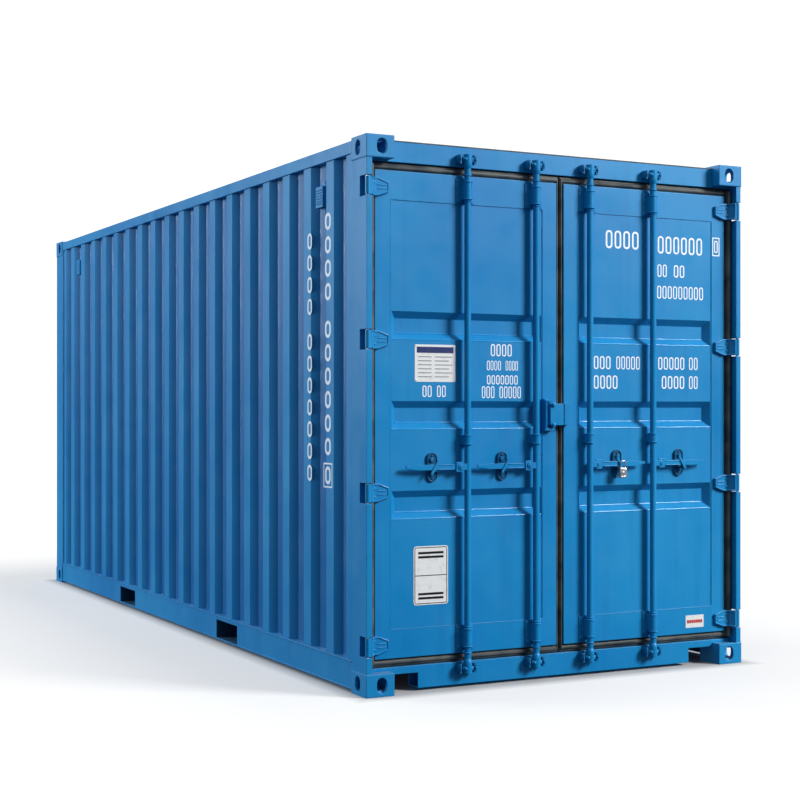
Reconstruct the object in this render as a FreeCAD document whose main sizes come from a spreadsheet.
"""A 20 ft high-cube freight container with two hinged doors.

Millimetres. +Z is up, +Y runs from the doors to the closed end, and +X is to the right of
someone who faces the doors. The origin is on the floor, under the middle of the box.

Each size that can be set by itself is a cell of the spreadsheet "sizes". Every other place is
an expression of those cells. A range is a pair of expressions, (low, high), along one axis.
"""
import FreeCAD, Part
import os
import Sketcher

SIZES = {
    # The box and its corner castings.
    "length": 6058, "width": 2438, "height": 2896,
    "casting_length": 178, "casting_width": 162, "casting_height": 118,
    "casting_plate": 28, "casting_wall": 18,
    "slot_inset_y": 102.5, "slot_inset_x": 89.5, "slot_length": 124.5, "slot_width": 63.5,
    "aperture_width": 58, "aperture_height": 80,
    # Posts, rails and beams.
    "post_face": 35, "post_wall": 6, "post_depth": 178, "post_inset": 3,
    "beam_recess": 65, "beam_wall": 6, "beam_inset": 15,
    "beam_lip": 8, "sill_lip": 18, "threshold_height": 34, "threshold_depth": 36,
    "notch_width": 172, "notch_top": 98,
    "top_rail_height": 65, "top_rail_width": 60, "top_rail_inset": 4, "top_rail_wall": 4,
    "top_rail_drop": 12,
    "base_rail_bottom": 16, "base_rail_flange": 45, "base_rail_wall": 4.5,
    "base_rail_inset": 6,
    # Corrugated sheets.
    "sheet_thickness": 2, "side_inset": 12, "side_depth": 36, "side_crest": 95, "side_slope": 50,
    "side_pitch": 301, "side_edge": 86,
    "end_inset": 15, "end_depth": 45, "end_crest": 96, "end_slope": 46, "end_pitch": 250,
    "roof_depth": 20, "roof_crest": 90, "roof_slope": 18, "roof_pitch": 209,
    # Floor and what carries it.
    "floor_thickness": 28, "floor_gap": 4, "cross_width": 45, "cross_wall": 4, "cross_pitch": 300,
    "pocket_spacing": 2050, "pocket_width": 360, "pocket_bottom": 24, "pocket_height": 115,
    "pocket_wall": 6, "pocket_floor": 540,
    # Side ventilators.
    "vent_width": 88, "vent_height": 115, "vent_tab": 30, "vent_tab_width": 34, "vent_face_gap": 4,
    "vent_top_gap": 120, "vent_wall": 3,
    # Door leaves.
    "leaf_recess": 62, "leaf_depth": 50, "leaf_side_gap": 44, "leaf_middle_gap": 48,
    "leaf_bottom_gap": 47, "leaf_top_gap": 172, "stile_width": 90, "rail_height": 150,
    "panel_set_back": 3, "groove_depth": 36, "groove_slope": 35, "groove_height": 147,
    "groove_pitch": 470, "groove_middle": 1450, "groove_end": 8,
    "running_gap": 5, "gasket_recess": 4, "gasket_depth": 24, "gasket_middle_gap": 8,
    # Hinges.
    "hinge_first": 257, "hinge_last_gap": 263, "hinge_height": 95, "hinge_seat": 20,
    "pin_inset": 17, "pin_radius": 8, "pin_play": 0.3, "barrel_radius": 14,
    "blade_reach": 137, "blade_thickness": 14, "blade_cheek": 9, "blade_neck": 20,
    "blade_bend": 52, "blade_tip_height": 54, "blade_taper": 60,
    "hinge_notch_depth": 46, "hinge_slot_depth": 80, "hinge_slot_width": 30,
    # Lock bars, their guides and cam keepers.
    "bar_inner": 176, "bar_outer": 606, "bar_recess": 27, "bar_radius": 18, "bar_wall": 3.5,
    "bar_play": 0.3, "cam_low": 104, "cam_high_gap": 88, "cam_height": 52, "cam_radius": 24,
    "cam_horn": 31, "cam_horn_depth": 18, "cam_horn_height": 22, "cam_sink": 2,
    "keeper_gap": 38, "keeper_thickness": 10, "keeper_height": 50, "keeper_reach": 43,
    "guide_width": 104, "guide_height": 130, "guide_plate": 6, "guide_wall": 5,
    "guide_saddle": 92, "guide_low": 267, "guide_high_gap": 254, "guide_middle": 1318,
    "guide_middle_width": 62, "guide_middle_height": 47,
    # Handles and their catches.
    "handle_level": 1175, "handle_pivot": 48, "handle_end": 370, "handle_tip": 70,
    "handle_tip_below": 2, "handle_tip_above": 9, "handle_height": 29, "handle_thickness": 10,
    "clevis_radius": 16, "clevis_plate": 8, "clevis_gap": 2, "clevis_root": 8, "bolt_end": 4,
     "catch_place": 200, "catch_width": 61, "catch_height": 154,
    "shelf_width": 44, "shelf_thickness": 10, "shelf_play": 0.3, "shelf_set_back": 3,
    "lever_width": 14, "lever_length": 82, "lever_thickness": 6, "lever_tilt": 32,
    # Lock plates at the middle of the doors, and the padlock.
    "plate_low": 1393, "plate_high": 1511, "plate_right": 46, "plate_left": 88,
    "plate_depth": 42, "plate_split": 6, "bracket_left": 121, "bracket_overlap": 30,
    "bracket_low": 1364, "bracket_high": 1536, "bracket_depth": 34, "bracket_wall": 14,
    "padlock_width": 50, "padlock_height": 62, "padlock_depth": 13, "padlock_shift": 10,
    "padlock_gap": 0.3, "padlock_drop": 18, "shackle_width": 40, "shackle_height": 38,
    "shackle_wall": 8,
}

doc = FreeCAD.newDocument("shipping_container")
sheet = doc.addObject("Spreadsheet::Sheet", "sizes")
for row, (alias, value) in enumerate(SIZES.items(), start=1):
    sheet.set(f"A{row}", alias)
    sheet.set(f"B{row}", str(value))
    sheet.setAlias(f"B{row}", alias)
doc.recompute()

reader = doc.addObject("App::FeaturePython", "reader")
subparts = []

# How far a cutting tool runs past the face that it opens.
PAST = "1"


# --- Expressions that several pieces share ---------------------------------------------------

def size(alias):
    return f"sizes.{alias}"


def number(expression):
    """The present value of an expression of the sheet's cells."""
    return float(reader.evalExpression(expression))


def minus(expression):
    return f"-({expression})"


def plus(*expressions):
    return " + ".join(f"({part})" for part in expressions)


def less(first, *others):
    return f"({first})" + "".join(f" - ({part})" for part in others)


def half(expression):
    return f"({expression}) / 2"


def around(middle, width):
    """The range of the given width with its middle at the given place."""
    return (less(middle, half(width)), plus(middle, half(width)))


HALF_WIDTH = half(size("width"))
HALF_LENGTH = half(size("length"))
DOOR_FACE = minus(HALF_LENGTH)
POST_INNER = less(HALF_WIDTH, size("post_face"))
POST_OUTER = less(HALF_WIDTH, size("post_inset"))
POST_BACK = less(HALF_LENGTH, size("post_depth"))
POST_FRONT = less(HALF_LENGTH, size("post_inset"))
CASTING_BACK = less(HALF_LENGTH, size("casting_length"))
CASTING_INNER = less(HALF_WIDTH, size("casting_width"))
CASTING_TOP_LOW = less(size("height"), size("casting_height"))
BEAM_TOP = less(size("height"), size("beam_inset"))
HEADER_BOTTOM = less(CASTING_TOP_LOW, size("beam_lip"))
SILL_TOP = plus(size("casting_height"), size("sill_lip"))
FLOOR_TOP = plus(SILL_TOP, size("threshold_height"))
BEAM_FRONT = plus(DOOR_FACE, size("beam_recess"))
BEAM_BACK = minus(CASTING_BACK)
RAIL_TOP = less(size("height"), size("top_rail_drop"))
RAIL_LOW = less(RAIL_TOP, size("top_rail_height"))
RAIL_OUTER = less(HALF_WIDTH, size("top_rail_inset"))
RAIL_INNER = less(RAIL_OUTER, size("top_rail_width"))
BASE_OUTER = less(HALF_WIDTH, size("base_rail_inset"))
BASE_INNER = less(BASE_OUTER, size("base_rail_flange"))
WEB_INNER = less(BASE_OUTER, size("base_rail_wall"))
SIDE_OUTER = less(HALF_WIDTH, size("side_inset"))
CROSS_LOW = plus(size("base_rail_bottom"), size("base_rail_wall"))
CROSS_TOP = less(FLOOR_TOP, size("floor_thickness"))
LEAF_FRONT = plus(DOOR_FACE, size("leaf_recess"))
LEAF_BACK = plus(LEAF_FRONT, size("leaf_depth"))
LEAF_OUTER = less(POST_INNER, size("leaf_side_gap"))
LEAF_INNER = half(size("leaf_middle_gap"))
LEAF_TOP = less(size("height"), size("leaf_top_gap"))
LEAF_HEIGHTS = (plus(SILL_TOP, size("leaf_bottom_gap")), LEAF_TOP)
PIN_X = less(HALF_WIDTH, size("pin_inset"))
PIN_Y = plus(DOOR_FACE, size("pin_inset"))
BAR_Y = plus(DOOR_FACE, size("bar_recess"))
HINGE_LAST = less(size("height"), size("hinge_last_gap"))
HINGE_LEVELS = [f"({3 - count} * ({size('hinge_first')}) + {count} * ({HINGE_LAST})) / 3"
                for count in range(4)]
CAM_LEVELS = (size("cam_low"), less(size("height"), size("cam_high_gap")))
GUIDE_HIGH = less(size("height"), size("guide_high_gap"))


# --- Ways to make a shape --------------------------------------------------------------------

def add(kind, name, **properties):
    piece = doc.addObject(kind, name)
    for key, value in properties.items():
        setattr(piece, key, value)
    return piece


def block(name, x, y, z):
    """A box that fills three ranges."""
    piece = add("Part::Box", name)
    for side, axis, (low, high) in zip(("Length", "Width", "Height"), "xyz", (x, y, z)):
        piece.setExpression(side, less(high, low))
        piece.setExpression(f".Placement.Base.{axis}", low)
    return piece


def rod(name, axis, centre, span, radius):
    """A cylinder along one axis: its centre on the other two axes, and its range along it."""
    turns = {"x": ((0, 1, 0), 90), "y": ((1, 0, 0), -90), "z": ((0, 0, 1), 0)}
    piece = add("Part::Cylinder", name)
    direction, angle = turns[axis]
    piece.Placement.Rotation = FreeCAD.Rotation(FreeCAD.Vector(*direction), angle)
    piece.setExpression("Radius", radius)
    piece.setExpression("Height", less(span[1], span[0]))
    others = [other for other in "xyz" if other != axis]
    places = {axis: span[0], others[0]: centre[0], others[1]: centre[1]}
    for other, place in places.items():
        piece.setExpression(f".Placement.Base.{other}", place)
    return piece


def fuse(name, pieces):
    return add("Part::MultiFuse", name, Shapes=pieces, Refine=True)


def cut(name, base, tools):
    tool = tools[0] if len(tools) == 1 else add("Part::MultiFuse", name + "_tools", Shapes=tools)
    return add("Part::Cut", name, Base=base, Tool=tool, Refine=True)


def collect(name, pieces):
    """Like pieces that don't touch, kept as one object of several solids."""
    return add("Part::Compound", name, Links=pieces)


def mirrored(name, source, across):
    normals = {"x": FreeCAD.Vector(1, 0, 0), "y": FreeCAD.Vector(0, 1, 0)}
    return add("Part::Mirroring", name, Source=source, Normal=normals[across])


def outline(name, plane, corners):
    """A closed sketch whose corners are pinned to expressions: (first, second) on its plane."""
    rotations = {"xy": FreeCAD.Rotation(), "xz": FreeCAD.Rotation(FreeCAD.Vector(1, 0, 0), 90),
                 "yz": FreeCAD.Rotation(FreeCAD.Vector(1, 1, 1), 120)}
    sketch = add("Sketcher::SketchObject", name)
    sketch.Placement.Rotation = rotations[plane]
    places = [[float(sketch.evalExpression(place)) for place in corner] for corner in corners]
    points = [FreeCAD.Vector(first, second, 0) for first, second in places]
    edges = [Part.LineSegment(start, end) for start, end in zip(points, points[1:] + points[:1])]
    sketch.addGeometry(edges, False)
    joins = [Sketcher.Constraint("Coincident", edge, 2, (edge + 1) % len(edges), 1)
             for edge in range(len(edges))]
    pins = [Sketcher.Constraint(kind, -1, 1, edge, 1, place)
            for edge, corner in enumerate(places)
            for kind, place in zip(("DistanceX", "DistanceY"), corner)]
    sketch.addConstraint(joins + pins)
    expressions = [expression for corner in corners for expression in corner]
    for pin, expression in enumerate(expressions, start=len(joins)):
        sketch.setExpression(f"Constraints[{pin}]", expression)
    return sketch


def prism(name, plane, corners, span):
    """An outline carried along the axis that its plane leaves out."""
    directions = {"xy": (0, 0, 1), "xz": (0, -1, 0), "yz": (1, 0, 0)}
    base = outline(name + "_outline", plane, corners)
    piece = add("Part::Extrusion", name, Base=base, DirMode="Custom", Solid=True)
    piece.Dir = FreeCAD.Vector(*directions[plane])
    if plane == "xz":
        piece.setExpression("LengthFwd", minus(span[0]))
        piece.setExpression("LengthRev", span[1])
    else:
        piece.setExpression("LengthFwd", span[1])
        piece.setExpression("LengthRev", minus(span[0]))
    return piece


def folded_sheet(name, plane, corners, span):
    """A prism with many folds. Its corners are read from the sheet here, because a sketch with
    hundreds of pinned corners takes minutes to solve.
    """
    axes = {"xy": "xyz", "yz": "yzx"}[plane]
    low, high = (number(end) for end in span)
    points = []
    for first, second in corners:
        place = dict(zip(axes, (number(first), number(second), low)))
        points.append(FreeCAD.Vector(place["x"], place["y"], place["z"]))
    face = Part.Face(Part.makePolygon(points + points[:1]))
    reach = {axes[0]: 0, axes[1]: 0, axes[2]: high - low}
    sheet_shape = face.extrude(FreeCAD.Vector(reach["x"], reach["y"], reach["z"]))
    return add("Part::Feature", name, Shape=sheet_shape)


def finish(piece, label):
    """Name a finished sub-part, so that it is checked and written."""
    piece.Label = label
    subparts.append(piece)
    return piece


def grown(span, amount=PAST):
    """The range made longer at both ends, for a cut that runs past two faces."""
    return (less(span[0], amount), plus(span[1], amount))


def tube(name, x, y, z, wall, along):
    """A box section, open at both ends of the axis that it runs along."""
    inside = {"x": x, "y": y, "z": z}
    for axis, (low, high) in inside.items():
        inside[axis] = (plus(low, wall), less(high, wall))
    inside[along] = grown({"x": x, "y": y, "z": z}[along])
    bore = block(name + "_bore", inside["x"], inside["y"], inside["z"])
    return cut(name, block(name + "_outside", x, y, z), [bore])


# --- Corner castings -------------------------------------------------------------------------

def aperture(name, axis, middle, span):
    """A rounded upright hole: a slab between two half-round ends, along X or Y."""
    radius = half(size("aperture_width"))
    straight = less(size("aperture_height"), size("aperture_width"))
    level = (less(middle[1], half(straight)), plus(middle[1], half(straight)))
    width = around(middle[0], size("aperture_width"))
    slab = {"x": (span, width, level), "y": (width, span, level)}[axis]
    ends = [rod(f"{name}_end_{count}", axis, (middle[0], end), span, radius)
            for count, end in enumerate(level)]
    return [block(name + "_slab", *slab)] + ends


def corner_casting(name, low, open_side):
    """The casting at +X, -Y, hollow, with a slot in its top or bottom and holes in two sides."""
    high = plus(low, size("casting_height"))
    x = (CASTING_INNER, HALF_WIDTH)
    y = (DOOR_FACE, minus(CASTING_BACK))
    plate = size("casting_plate")
    wall = size("casting_wall")
    inside = block(name + "_inside", (plus(x[0], wall), less(x[1], wall)),
                   (plus(y[0], wall), less(y[1], wall)), (plus(low, plate), less(high, plate)))
    slot_x = less(HALF_WIDTH, size("slot_inset_x"))
    slot_y = plus(DOOR_FACE, size("slot_inset_y"))
    straight = less(size("slot_length"), size("slot_width"))
    plates = {"top": (less(high, plate, PAST), plus(high, PAST)),
              "bottom": (less(low, PAST), plus(low, plate, PAST))}
    slot_z = plates[open_side]
    slot = [block(name + "_slot", around(slot_x, size("slot_width")), around(slot_y, straight), slot_z)]
    for count, end in enumerate(around(slot_y, straight)):
        slot.append(rod(f"{name}_slot_end_{count}", "z", (slot_x, end), slot_z,
                        half(size("slot_width"))))
    level = plus(low, half(size("casting_height")))
    side = aperture(name + "_side", "x", (slot_y, level), (less(x[1], wall, PAST), plus(x[1], PAST)))
    face = aperture(name + "_face", "y", (slot_x, level), (less(y[0], PAST), plus(y[0], wall, PAST)))
    return cut(name, block(name + "_body", x, y, (low, high)), [inside] + slot + side + face)


def four_corners(name, first):
    right = collect(name + "_right", [first, mirrored(name + "_far", first, "y")])
    return collect(name, [right, mirrored(name + "_left", right, "x")])


def castings():
    for label, low, open_side in (("corner_castings_top", CASTING_TOP_LOW, "top"),
                                  ("corner_castings_bottom", "0", "bottom")):
        first = corner_casting(label + "_one", low, open_side)
        finish(four_corners(label + "_four", first), label)


# --- Posts and hinge pins --------------------------------------------------------------------

def hinge_gap(level):
    """The height that a hinge has between its two seats in the post."""
    return around(level, plus(size("hinge_height"), f"2 * {size('running_gap')}"))


def door_post(name):
    """The right-hand post at the doors: a hollow section, solid and notched at each hinge."""
    x = (POST_INNER, POST_OUTER)
    y = (minus(POST_FRONT), minus(POST_BACK))
    z = (size("casting_height"), CASTING_TOP_LOW)
    wall = size("post_wall")
    tools = []
    seats = [grown(hinge_gap(level), size("hinge_seat")) for level in HINGE_LEVELS]
    hollows = zip([z[0]] + [seat[1] for seat in seats], [seat[0] for seat in seats] + [z[1]])
    for count, hollow in enumerate(hollows):
        tools.append(block(f"{name}_hollow_{count}", (plus(x[0], wall), less(x[1], wall)),
                           (plus(y[0], wall), less(y[1], wall)), hollow))
    for count, level in enumerate(HINGE_LEVELS):
        gap = hinge_gap(level)
        front = (less(y[0], PAST), plus(y[0], size("hinge_notch_depth")))
        slot = (less(y[0], PAST), plus(y[0], size("hinge_slot_depth")))
        tools.append(block(f"{name}_notch_{count}", grown(x), front, gap))
        tools.append(block(f"{name}_slot_{count}", (less(x[1], size("hinge_slot_width")),
                                                    plus(x[1], PAST)), slot, gap))
    return cut(name, block(name + "_body", x, y, z), tools)


def posts():
    right = door_post("door_post")
    finish(right, "door_post_right")
    finish(mirrored("door_post_mirror", right, "x"), "door_post_left")
    z = (size("casting_height"), CASTING_TOP_LOW)
    back = tube("end_post", (POST_INNER, POST_OUTER), (POST_BACK, POST_FRONT), z,
                size("post_wall"), "z")
    finish(back, "end_post_right")
    finish(mirrored("end_post_mirror", back, "x"), "end_post_left")
    pins = [rod(f"pin_{count}", "z", (PIN_X, PIN_Y), hinge_gap(level), size("pin_radius"))
            for count, level in enumerate(HINGE_LEVELS)]
    right_pins = collect("right_pins", pins)
    finish(collect("all_pins", [right_pins, mirrored("left_pins", right_pins, "x")]), "hinge_pins")


# --- Beams across the two ends ---------------------------------------------------------------

def beam(name, main_z, lip_z, y):
    """A hollow beam between the castings, with a lip that reaches the posts."""
    main = tube(name + "_main", (minus(CASTING_INNER), CASTING_INNER), y, main_z,
                size("beam_wall"), "x")
    lip = block(name + "_lip", (minus(POST_INNER), POST_INNER), y, lip_z)
    return main, lip


def end_beams():
    high_z = (HEADER_BOTTOM, BEAM_TOP)
    high_lip = (HEADER_BOTTOM, CASTING_TOP_LOW)
    low_z = (size("base_rail_bottom"), SILL_TOP)
    low_lip = (size("casting_height"), SILL_TOP)
    front = (BEAM_FRONT, BEAM_BACK)
    header = fuse("header", beam("header", high_z, high_lip, front))
    finish(header, "door_header")
    finish(mirrored("end_beam_high", header, "y"), "end_top_rail")

    threshold = block("threshold", (minus(POST_INNER), POST_INNER),
                      (less(BEAM_BACK, size("threshold_depth")), BEAM_BACK),
                      (SILL_TOP, FLOOR_TOP))
    whole = fuse("sill_whole", (*beam("sill", low_z, low_lip, front), threshold))
    notch_x = (less(CASTING_INNER, size("notch_width")), plus(CASTING_INNER, PAST))
    notch = block("sill_notch", notch_x, grown(front), (less(low_z[0], PAST), size("notch_top")))
    sill = cut("sill", whole, [notch, mirrored("sill_notch_left", notch, "x")])
    finish(sill, "door_sill")
    low = fuse("end_beam_low_front", beam("end_low", low_z, low_lip, front))
    finish(mirrored("end_beam_low", low, "y"), "end_bottom_rail")


# --- Rails along the two sides ---------------------------------------------------------------

def pocket_middles():
    return [minus(half(size("pocket_spacing"))), half(size("pocket_spacing"))]


def side_rails():
    y = (minus(CASTING_BACK), CASTING_BACK)
    top = tube("top_rail", (RAIL_INNER, RAIL_OUTER), y, (RAIL_LOW, RAIL_TOP),
               size("top_rail_wall"), "y")
    finish(top, "top_side_rail_right")
    finish(mirrored("top_rail_mirror", top, "x"), "top_side_rail_left")

    low, high = size("base_rail_bottom"), FLOOR_TOP
    wall = size("base_rail_wall")
    channel = prism("base_channel", "xz", [
        (BASE_INNER, low), (BASE_OUTER, low), (BASE_OUTER, high), (BASE_INNER, high),
        (BASE_INNER, less(high, wall)), (WEB_INNER, less(high, wall)),
        (WEB_INNER, plus(low, wall)), (BASE_INNER, plus(low, wall))], y)
    mouths = [block(f"pocket_mouth_{count}", (less(WEB_INNER, PAST), plus(BASE_OUTER, PAST)),
                    around(middle, size("pocket_width")),
                    (size("pocket_bottom"), plus(size("pocket_bottom"), size("pocket_height"))))
              for count, middle in enumerate(pocket_middles())]
    base = cut("base_rail", channel, mouths)
    finish(base, "bottom_side_rail_right")
    finish(mirrored("base_rail_mirror", base, "x"), "bottom_side_rail_left")


# --- Corrugated sheets -----------------------------------------------------------------------

def fold_sizes(wall):
    return [size(f"{wall}_{part}") for part in ("pitch", "crest", "slope", "depth")]


def corrugation(count, sizes_of, edge, outer, ends):
    """Both faces of a folded sheet, as corners (along, out), from one end to the other.

    The inner face is the outer one moved straight inwards by the sheet's thickness.
    """
    pitch, crest, slope, depth = sizes_of
    thickness = size("sheet_thickness")
    inner = less(outer, depth)
    path = [(ends[0], outer), (plus(ends[0], edge), outer), (plus(ends[0], edge, slope), inner)]
    for crest_number in range(count):
        middle = f"({crest_number} - {(count - 1) / 2}) * {pitch}"
        near, far = around(middle, crest)
        path += [(less(near, slope), inner), (near, outer), (far, outer), (plus(far, slope), inner)]
    path += [(less(ends[1], edge, slope), inner), (less(ends[1], edge), outer), (ends[1], outer)]
    back = [(along, less(out, thickness)) for along, out in path]
    return path + back[::-1]


def fitting_count(sizes_of, edge, ends):
    """How many crests fit between the two flat edges of a sheet, each with its own slope."""
    pitch, crest, slope, _ = (number(part) for part in sizes_of)
    free = number(less(ends[1], ends[0])) - 2 * number(edge) - 4 * slope - crest
    return int(free // pitch) + 1


def side_walls():
    ends = (minus(CASTING_BACK), CASTING_BACK)
    sizes_of = fold_sizes("side")
    count = fitting_count(sizes_of, size("side_edge"), ends)
    corners = corrugation(count, sizes_of, size("side_edge"), SIDE_OUTER, ends)
    right = folded_sheet("side_wall", "xy", [(out, along) for along, out in corners],
                         (FLOOR_TOP, RAIL_LOW))
    finish(right, "side_wall_right")
    finish(mirrored("side_wall_mirror", right, "x"), "side_wall_left")
    print("side crests:", count)


def end_wall():
    ends = (minus(POST_INNER), POST_INNER)
    sizes_of = fold_sizes("end")
    outer = less(HALF_LENGTH, size("end_inset"))
    count = fitting_count(sizes_of, size("end_slope"), ends)
    corners = corrugation(count, sizes_of, size("end_slope"), outer, ends)
    wall = folded_sheet("end_sheet", "xy", corners, (SILL_TOP, HEADER_BOTTOM))
    finish(wall, "end_wall")
    print("end crests:", count)


def roof():
    ends = (BEAM_BACK, minus(BEAM_BACK))
    sizes_of = fold_sizes("roof")
    count = fitting_count(sizes_of, size("roof_crest"), ends)
    corners = corrugation(count, sizes_of, size("roof_crest"), RAIL_TOP, ends)
    finish(folded_sheet("roof_sheet", "yz", corners, (minus(RAIL_INNER), RAIL_INNER)), "roof")
    print("roof crests:", count)


# --- Floor and what carries it ---------------------------------------------------------------

def floor():
    side = less(SIDE_OUTER, size("side_depth"), size("sheet_thickness"), size("floor_gap"))
    back = less(HALF_LENGTH, size("end_inset"), size("end_depth"), size("sheet_thickness"),
                size("floor_gap"))
    finish(block("floor_boards", (minus(side), side), (BEAM_BACK, back),
                 (CROSS_TOP, FLOOR_TOP)), "floor")


def cross_member(name, middle):
    """A channel across the base, open towards the doors."""
    near, far = around(middle, size("cross_width"))
    wall = size("cross_wall")
    low, high = CROSS_LOW, CROSS_TOP
    return prism(name, "yz", [
        (near, low), (far, low), (far, high), (near, high), (near, less(high, wall)),
        (less(far, wall), less(high, wall)), (less(far, wall), plus(low, wall)),
        (near, plus(low, wall))], (minus(WEB_INNER), WEB_INNER))


def understructure():
    pitch = number(size("cross_pitch"))
    reach = number(less(minus(BEAM_BACK), size("cross_width")))
    keep_off = number(half(plus(size("pocket_width"), size("cross_width")))) + 2 * number(
        size("pocket_wall"))
    members = []
    for step in range(int((reach - pitch / 2) // pitch) + 1):
        place = pitch * (step + 0.5)
        if abs(place - number(half(size("pocket_spacing")))) < keep_off:
            continue
        for side, sign in (("near", "-"), ("far", "")):
            middle = f"{sign}({step} + 0.5) * {size('cross_pitch')}"
            members.append(cross_member(f"cross_member_{side}_{step}", middle))
    finish(collect("cross_member_set", members), "cross_members")
    print("cross members:", len(members))


def fork_pockets():
    """Two tunnels across the base: two side plates, a top plate, and a bottom plate at each mouth."""
    tunnels = []
    x = (minus(WEB_INNER), WEB_INNER)
    for count, middle in enumerate(pocket_middles()):
        inside = around(middle, size("pocket_width"))
        outside = grown(inside, size("pocket_wall"))
        top = plus(size("pocket_bottom"), size("pocket_height"))
        body = block(f"tunnel_body_{count}", x, outside, (CROSS_LOW, CROSS_TOP))
        way = block(f"tunnel_way_{count}", grown(x), inside, (size("pocket_bottom"), top))
        hatch = block(f"tunnel_hatch_{count}", grown(x, minus(size("pocket_floor"))), inside,
                      (less(CROSS_LOW, PAST), size("pocket_bottom")))
        tunnels.append(cut(f"tunnel_{count}", body, [way, hatch]))
    finish(collect("tunnel_set", tunnels), "fork_pockets")


def ventilators():
    """A small hooded box with a tab above and below, in the last hollow at each end of a side."""
    crests = fitting_count(fold_sizes("side"), size("side_edge"), (minus(CASTING_BACK), CASTING_BACK))
    middle = minus(f"{(crests - 2) / 2} * {size('side_pitch')}")
    seat = less(SIDE_OUTER, size("side_depth"))
    face = less(SIDE_OUTER, size("vent_face_gap"))
    high = less(RAIL_LOW, size("vent_top_gap"))
    low = less(high, size("vent_height"))
    y = around(middle, size("vent_width"))
    wall = size("vent_wall")
    hood = block("vent_hood", (seat, face), y, (low, high))
    hollow = block("vent_hollow", (less(seat, PAST), less(face, wall)),
                   (plus(y[0], wall), less(y[1], wall)), (less(low, PAST), less(high, wall)))
    tabs = block("vent_tabs", (seat, plus(seat, wall)), around(middle, size("vent_tab_width")),
                 grown((low, high), size("vent_tab")))
    first = fuse("vent_one", [cut("vent_shell", hood, [hollow]), tabs])
    finish(four_corners("vent_four", first), "ventilators")


# --- Door leaves, for the right-hand side; the left is mirrored ------------------------------

def door_frame():
    x = (LEAF_INNER, LEAF_OUTER)
    y = (LEAF_FRONT, LEAF_BACK)
    inside_x = (plus(x[0], size("stile_width")), less(x[1], size("stile_width")))
    inside_z = (plus(LEAF_HEIGHTS[0], size("rail_height")), less(LEAF_HEIGHTS[1], size("rail_height")))
    opening = block("leaf_opening", inside_x, grown(y), inside_z)
    return cut("leaf_frame", block("leaf_body", x, y, LEAF_HEIGHTS), [opening])


def groove(name, middle, face, shrink):
    """A pressed groove: a bar that narrows towards its floor, for a cut or for the sheet's back."""
    deep = plus(face, size("groove_depth"))
    tall = around(middle, size("groove_height"))
    slope = size("groove_slope")
    x = (plus(LEAF_INNER, size("stile_width"), size("groove_end")),
         less(LEAF_OUTER, size("stile_width"), size("groove_end")))
    low, high = less(tall[0], shrink), plus(tall[1], shrink)
    left, right = less(x[0], shrink), plus(x[1], shrink)
    wedge = add("Part::Wedge", name)
    bounds = {"Xmin": left, "Xmax": right, "Zmin": low, "Zmax": high, "Ymin": face,
              "Ymax": deep, "X2min": plus(left, slope), "X2max": less(right, slope),
              "Z2min": plus(low, slope), "Z2max": less(high, slope)}
    for bound, place in bounds.items():
        wedge.setExpression(bound, place)
    return wedge


def door_panel():
    """A sheet inside the frame, pressed inwards into three wide grooves."""
    face = plus(LEAF_FRONT, size("panel_set_back"))
    thickness = size("sheet_thickness")
    back = plus(face, thickness)
    x = (plus(LEAF_INNER, size("stile_width")), less(LEAF_OUTER, size("stile_width")))
    z = (plus(LEAF_HEIGHTS[0], size("rail_height")), less(LEAF_HEIGHTS[1], size("rail_height")))
    middles = [plus(size("groove_middle"), f"{step} * {size('groove_pitch')}") for step in (-1, 0, 1)]
    backs = [groove(f"groove_back_{count}", middle, back, thickness)
             for count, middle in enumerate(middles)]
    fronts = [groove(f"groove_front_{count}", middle, face, "0")
              for count, middle in enumerate(middles)]
    pressed = fuse("panel_pressed", [block("panel_flat", x, (face, back), z)] + backs)
    return cut("panel", pressed, fronts)


def door_gasket():
    y = (plus(LEAF_FRONT, size("gasket_recess")),
         plus(LEAF_FRONT, size("gasket_recess"), size("gasket_depth")))
    x = (half(size("gasket_middle_gap")), less(POST_INNER, size("running_gap")))
    z = (plus(SILL_TOP, size("running_gap")), less(HEADER_BOTTOM, size("running_gap")))
    inside = block("gasket_inside", (LEAF_INNER, LEAF_OUTER), grown(y), LEAF_HEIGHTS)
    return cut("gasket", block("gasket_body", x, y, z), [inside])


def hinge_blade(name, level):
    """A forged blade: its barrel on the pin, then a slope back to the leaf's stile and a taper."""
    z = around(level, size("hinge_height"))
    tip = around(level, size("blade_tip_height"))
    reach = less(PIN_X, size("blade_reach"))
    front_end = less(LEAF_FRONT, size("blade_thickness"))
    cheek = around(PIN_Y, f"2 * {size('blade_cheek')}")
    blade = prism(name + "_blade", "xy", [
        (PIN_X, cheek[0]), (less(PIN_X, size("blade_neck")), cheek[0]),
        (less(PIN_X, size("blade_bend")), front_end), (reach, front_end), (reach, LEAF_FRONT),
        (plus(LEAF_OUTER, PAST), LEAF_FRONT), (less(PIN_X, size("blade_neck")), cheek[1]),
        (PIN_X, cheek[1])], z)
    taper = plus(reach, size("blade_taper"))
    side_view = prism(name + "_side_view", "xz", [
        (reach, tip[0]), (taper, z[0]), (HALF_WIDTH, z[0]), (HALF_WIDTH, z[1]), (taper, z[1]),
        (reach, tip[1])], grown((cheek[0], LEAF_BACK)))
    tapered = add("Part::Common", name + "_tapered", Base=blade, Tool=side_view)
    barrel = rod(name + "_barrel", "z", (PIN_X, PIN_Y), z, size("barrel_radius"))
    bore = rod(name + "_bore", "z", (PIN_X, PIN_Y), grown(z),
               plus(size("pin_radius"), size("pin_play")))
    return cut(name, fuse(name + "_whole", [tapered, barrel]), [bore])


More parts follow.
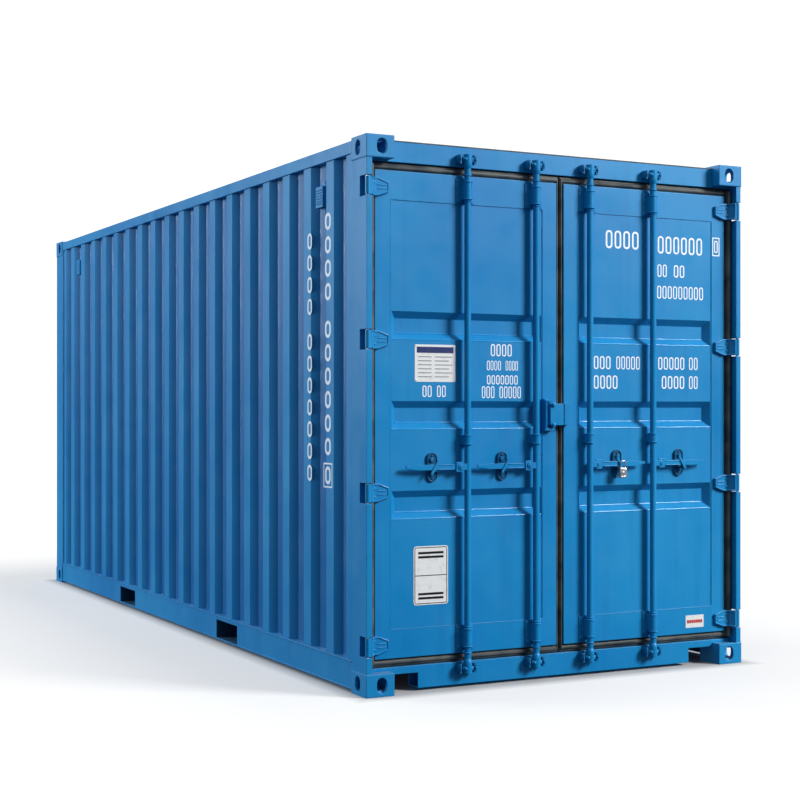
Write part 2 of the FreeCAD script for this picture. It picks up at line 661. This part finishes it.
def door_hinges():
    return collect("hinge_set", [hinge_blade(f"hinge_{count}", level)
                                 for count, level in enumerate(HINGE_LEVELS)])


def bar_guide(name, bar_x, level, width, height, saddle):
    """A plate on the leaf with a saddle around the lock bar."""
    hole = plus(size("bar_radius"), size("bar_play"))
    outer = plus(hole, size("guide_wall"))
    plate_y = (less(LEAF_FRONT, size("guide_plate")), LEAF_FRONT)
    plate = block(name + "_plate", around(bar_x, width), plate_y, around(level, height))
    z = around(level, saddle)
    neck = block(name + "_neck", around(bar_x, f"2 * ({outer})"), (BAR_Y, LEAF_FRONT), z)
    ring = rod(name + "_ring", "z", (bar_x, BAR_Y), z, outer)
    bore = rod(name + "_bore", "z", (bar_x, BAR_Y), grown(z), hole)
    return cut(name, fuse(name + "_whole", [plate, neck, ring]), [bore])


def door_guides():
    guides = []
    for place in ("inner", "outer"):
        bar_x = size(f"bar_{place}")
        tall = (size("guide_width"), size("guide_height"), size("guide_saddle"))
        short = (size("guide_middle_width"), size("guide_middle_height"), size("guide_middle_height"))
        guides.append(bar_guide(f"guide_low_{place}", bar_x, size("guide_low"), *tall))
        guides.append(bar_guide(f"guide_mid_{place}", bar_x, size("guide_middle"), *short))
        guides.append(bar_guide(f"guide_high_{place}", bar_x, GUIDE_HIGH, *tall))
    return collect("guide_set", guides)


def handle_catch(name, bar_x):
    """An upright rounded plate on the leaf, with a shelf that carries the handle."""
    middle = plus(bar_x, size("catch_place"))
    y = (less(LEAF_FRONT, size("guide_plate")), LEAF_FRONT)
    straight = less(size("catch_height"), size("catch_width"))
    level = size("handle_level")
    plate = [block(name + "_plate", around(middle, size("catch_width")), y, around(level, straight))]
    for count, end in enumerate(around(level, straight)):
        plate.append(rod(f"{name}_round_{count}", "y", (middle, end), y, half(size("catch_width"))))
    shelf_top = less(level, half(size("handle_height")), size("shelf_play"))
    shelf = block(name + "_shelf", around(middle, size("shelf_width")),
                  (plus(less(BAR_Y, half(size("handle_thickness"))), size("shelf_set_back")), LEAF_FRONT),
                  (less(shelf_top, size("shelf_thickness")), shelf_top))
    return fuse(name, plate + [shelf])


def door_catches():
    return collect("catch_set", [handle_catch(f"catch_{place}", size(f"bar_{place}"))
                                 for place in ("inner", "outer")])


def doors():
    makers = {"door_frame": door_frame, "door_panel": door_panel, "door_gasket": door_gasket,
              "door_hinges": door_hinges, "bar_guides": door_guides, "handle_catches": door_catches}
    for label, maker in makers.items():
        right = maker()
        finish(right, "right_" + label)
        finish(mirrored(label + "_mirror", right, "x"), "left_" + label)


def lock_plates():
    """A plate at the middle of the doors, split between the leaves, and the left leaf's bracket."""
    y = (less(LEAF_FRONT, size("plate_depth")), LEAF_FRONT)
    z = (size("plate_low"), size("plate_high"))
    split = half(size("plate_split"))
    finish(block("plate_right_half", (split, size("plate_right")), y, z), "right_lock_plate")
    left = block("plate_left_half", (minus(size("plate_left")), minus(split)), y, z)
    wall = size("bracket_wall")
    x = (minus(size("bracket_left")), minus(less(size("plate_left"), size("bracket_overlap"))))
    bracket_y = (less(LEAF_FRONT, size("bracket_depth")), LEAF_FRONT)
    spine = block("bracket_spine", (x[0], plus(x[0], wall)), bracket_y,
                  (size("bracket_low"), size("bracket_high")))
    low = block("bracket_foot", x, bracket_y, (size("bracket_low"), plus(size("bracket_low"), wall)))
    high = block("bracket_head", x, bracket_y, (less(size("bracket_high"), wall), size("bracket_high")))
    web = block("bracket_web", (x[0], minus(size("plate_left"))), (plus(bracket_y[0], wall), LEAF_FRONT),
                (size("bracket_low"), size("bracket_high")))
    finish(fuse("lock_bracket", [left, spine, low, high, web]), "left_lock_plate")


# --- Lock bars, keepers and handles ----------------------------------------------------------

def cam(name, bar_x, level):
    z = around(level, size("cam_height"))
    boss = rod(name + "_boss", "z", (bar_x, BAR_Y), z, size("cam_radius"))
    horn = block(name + "_horn", around(bar_x, f"2 * {size('cam_horn')}"),
                 around(BAR_Y, size("cam_horn_depth")), around(level, size("cam_horn_height")))
    return [boss, horn]


def lock_bar(place):
    """A hollow bar with a cam at each end and a clevis for its handle; the right-hand one."""
    name = f"bar_{place}"
    bar_x = size(name)
    level = size("handle_level")
    z = (less(CAM_LEVELS[0], half(size("cam_height"))), plus(CAM_LEVELS[1], half(size("cam_height"))))
    pipe = cut(name + "_pipe", rod(name + "_outside", "z", (bar_x, BAR_Y), z, size("bar_radius")),
               [rod(name + "_inside", "z", (bar_x, BAR_Y), (CAM_LEVELS[0], CAM_LEVELS[1]),
                    less(size("bar_radius"), size("bar_wall")))])
    cams = cam(name + "_cam_low", bar_x, CAM_LEVELS[0]) + cam(name + "_cam_high", bar_x, CAM_LEVELS[1])
    core = less(size("bar_radius"), size("cam_sink"))
    cams = [cut(f"{name}_cam_piece_{count}", piece, [
        rod(f"{name}_cam_core_{count}", "z", (bar_x, BAR_Y), grown(z), core)])
        for count, piece in enumerate(cams)]
    inner_gap = plus(half(size("handle_thickness")), size("clevis_gap"))
    outer_gap = plus(inner_gap, size("clevis_plate"))
    pivot = plus(bar_x, size("handle_pivot"))
    radius = size("clevis_radius")
    root = less(plus(bar_x, size("bar_radius")), size("clevis_root"))
    plates = []
    for side, y in (("front", (less(BAR_Y, outer_gap), less(BAR_Y, inner_gap))),
                    ("back", (plus(BAR_Y, inner_gap), plus(BAR_Y, outer_gap)))):
        plates.append(block(f"{name}_ear_{side}", (root, pivot), y, around(level, f"2 * {radius}")))
        plates.append(rod(f"{name}_eye_{side}", "y", (pivot, level), y, radius))
    bolt = rod(name + "_bolt", "y", (pivot, level),
               around(BAR_Y, f"2 * ({plus(outer_gap, size('bolt_end'))})"), size("pin_radius"))
    clear = rod(name + "_clear", "z", (bar_x, BAR_Y), around(level, f"4 * {radius}"),
                less(size("bar_radius"), size("bar_wall")))
    return fuse(name + "_whole", [pipe, cut(name + "_clevis", fuse(name + "_ears", plates), [clear]),
                                  bolt] + cams)


def handle(place):
    """A flat bar on the clevis bolt, tapered at its tip, with a small lever across it."""
    name = f"handle_{place}"
    bar_x = size(f"bar_{place}")
    level = size("handle_level")
    pivot = plus(bar_x, size("handle_pivot"))
    end = plus(bar_x, size("handle_end"))
    low, high = around(level, size("handle_height"))
    y = around(BAR_Y, size("handle_thickness"))
    shoulder = less(end, size("handle_tip"))
    tip_low, tip_high = less(level, size("handle_tip_below")), plus(level, size("handle_tip_above"))
    grip = prism(name + "_grip", "xz", [
        (pivot, low), (shoulder, low), (end, tip_low), (end, tip_high), (shoulder, high),
        (pivot, high)], y)
    hub = rod(name + "_hub", "y", (pivot, level), y, half(size("handle_height")))
    middle = plus(bar_x, size("catch_place"))
    grip_face = less(BAR_Y, half(size("handle_thickness")))
    lever = block(name + "_lever", around("0", size("lever_width")),
                  (less(grip_face, size("lever_thickness")), grip_face),
                  around("0", size("lever_length")))
    lever.Placement.Rotation = FreeCAD.Rotation(FreeCAD.Vector(0, 1, 0), -SIZES["lever_tilt"])
    tilt = f"{size('lever_tilt')} * 1 deg"
    half_width, half_length = half(size("lever_width")), half(size("lever_length"))
    lever.setExpression(".Placement.Base.x", plus(
        middle, f"-({half_width}) * cos({tilt}) + ({half_length}) * sin({tilt})"))
    lever.setExpression(".Placement.Base.z", less(
        level, f"({half_width}) * sin({tilt}) + ({half_length}) * cos({tilt})"))
    bore = rod(name + "_bore", "y", (pivot, level), grown(y), plus(size("pin_radius"), size("pin_play")))
    return cut(name + "_whole", fuse(name + "_parts", [grip, hub, lever]), [bore])


def bars_and_handles():
    for place in ("outer", "inner"):
        for label, maker in (("lock_bar", lock_bar), ("handle", handle)):
            right = maker(place)
            finish(right, f"{label}_right_{place}")
            finish(mirrored(f"{label}_{place}_mirror", right, "x"), f"{label}_left_{place}")


def cam_keepers():
    """Two ears on the header and on the sill beside each cam."""
    ears = []
    y = (less(BEAM_FRONT, size("keeper_reach")), BEAM_FRONT)
    for place in ("inner", "outer"):
        for height, level in zip(("low", "high"), CAM_LEVELS):
            z = around(level, size("keeper_height"))
            for side, sign in (("left", "-1"), ("right", PAST)):
                middle = plus(size(f"bar_{place}"),
                              f"{sign} * ({plus(size('keeper_gap'), half(size('keeper_thickness')))})")
                ears.append(block(f"keeper_{place}_{height}_{side}",
                                  around(middle, size("keeper_thickness")), y, z))
    right = collect("keepers_right", ears)
    finish(collect("keeper_set", [right, mirrored("keepers_left", right, "x")]), "cam_keepers")


def padlock():
    """A padlock in front of the right inner handle's lever, hung by its shackle."""
    middle = plus(size("bar_inner"), size("catch_place"), size("padlock_shift"))
    front = less(BAR_Y, half(size("handle_thickness")), size("lever_thickness"), size("padlock_gap"))
    y = (less(front, size("padlock_depth")), front)
    high = less(size("handle_level"), size("padlock_drop"))
    body = block("padlock_body", around(middle, size("padlock_width")), y,
                 (less(high, size("padlock_height")), high))
    wall = size("shackle_wall")
    arch_x = around(middle, size("shackle_width"))
    arch_y = around(less(front, half(size("padlock_depth"))), wall)
    arch_top = plus(high, size("shackle_height"))
    arch = block("shackle_outside", arch_x, arch_y, (high, arch_top))
    hole = block("shackle_inside", (plus(arch_x[0], wall), less(arch_x[1], wall)), grown(arch_y),
                 (less(high, PAST), less(arch_top, wall)))
    finish(fuse("padlock_whole", [body, cut("shackle", arch, [hole])]), "padlock")


def check_and_write():
    doc.recompute()
    failed = [piece.Name for piece in doc.Objects
              if any(flag in piece.State for flag in ("Invalid", "Error"))]
    empty = [piece.Label for piece in subparts
             if piece.Shape.isNull() or not piece.Shape.isValid() or not piece.Shape.Solids]
    if failed or empty:
        raise RuntimeError(f"failed objects: {failed}; empty or invalid sub-parts: {empty}")
    os.makedirs("parts", exist_ok=True)
    for piece in subparts:
        piece.Shape.exportStep(os.path.join("parts", piece.Label + ".step"))
        print(f"{piece.Label}: {len(piece.Shape.Solids)} solids, {piece.Shape.Volume / 1e6:.2f} litres")


castings()
posts()
end_beams()
side_rails()
side_walls()
end_wall()
roof()
floor()
understructure()
fork_pockets()
ventilators()
doors()
lock_plates()
bars_and_handles()
cam_keepers()
padlock()
check_and_write()
